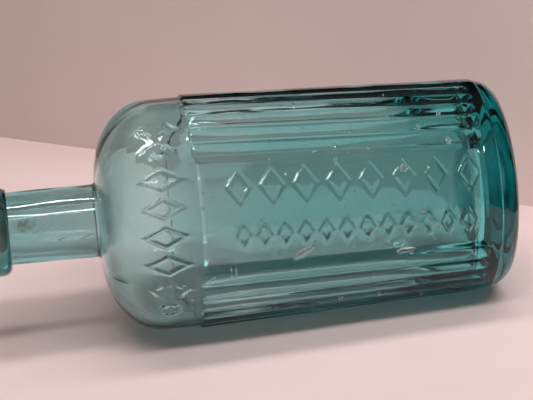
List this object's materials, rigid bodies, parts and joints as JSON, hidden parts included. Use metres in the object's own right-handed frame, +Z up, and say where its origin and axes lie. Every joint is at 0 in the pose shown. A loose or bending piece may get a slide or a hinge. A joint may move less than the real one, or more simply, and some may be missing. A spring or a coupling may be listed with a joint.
{
  "type": "poison bottle",
  "caption": "Round aqua glass poison bottle with raised vertical ribs either side of a sunk front panel, rounded shoulder, short neck, applied lip and a cork that lifts out.",
  "frame": {"origin": "centre of the foot ring, on the surface the bottle stands on", "axes": "+Z up along the bottle's axis to the mouth, -Y out of the sunk front panel, +X to the panel's right"},
  "size_m": [0.076, 0.0753, 0.183],
  "materials": {
    "aqua_glass": "mould-blown, glossy",
    "lip_glass": "tooled, glossy",
    "cork": "cut bark cork, matt"
  },
  "bodies": {
    "bottle": {"glass_bottle": "aqua_glass", "applied_lip": "lip_glass"},
    "cork": {"cork_stopper": "cork"}
  },
  "joints": [
    {"name": "cork_lift", "type": "slide", "parent": "bottle", "child": "cork", "axis": [0, 0, 1], "range_m": [0, 0.035]}
  ]
}
